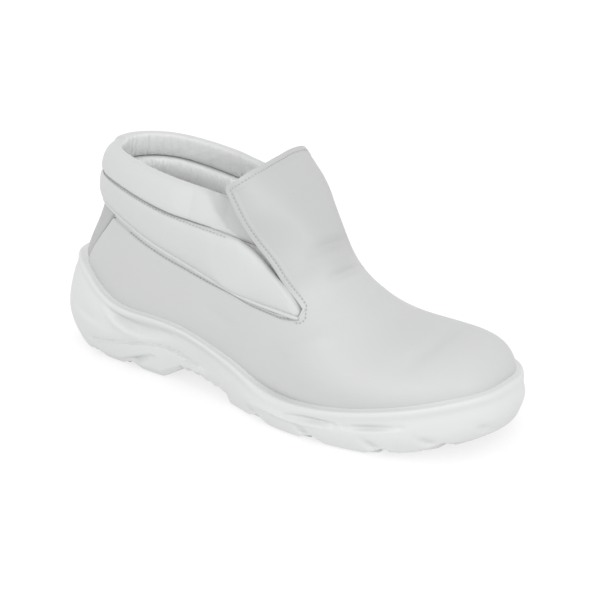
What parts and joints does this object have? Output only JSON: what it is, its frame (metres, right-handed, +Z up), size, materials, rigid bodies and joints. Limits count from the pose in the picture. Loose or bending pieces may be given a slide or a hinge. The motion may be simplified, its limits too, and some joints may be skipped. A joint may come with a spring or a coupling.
{
  "type": "slip-on safety boot",
  "caption": "Low slip-on work boot with a moulded cup sole, a stand-up instep flap, elastic gussets and a padded collar of stacked rolls.",
  "frame": {"origin": "on the floor, under the middle of the boot's length and width", "axes": "+X to the toe, +Y to the inner side of the foot, +Z up"},
  "size_m": [0.3039, 0.1091, 0.1444],
  "materials": {
    "moulded_sole": "satin white moulded polyurethane",
    "leather": "smooth white coated leather, satin",
    "soft_leather": "soft white coated leather over foam",
    "elastic": "grey woven elastic",
    "felt": "pale felt footbed"
  },
  "bodies": {
    "root": {"sole": "moulded_sole", "upper": "leather", "heel_panel": "leather", "collar_lower_roll": "soft_leather", "collar_upper_roll": "soft_leather", "collar_piping": "soft_leather", "gusset_outer": "elastic", "gusset_inner": "elastic", "insole": "felt"}
  },
  "joints": []
}
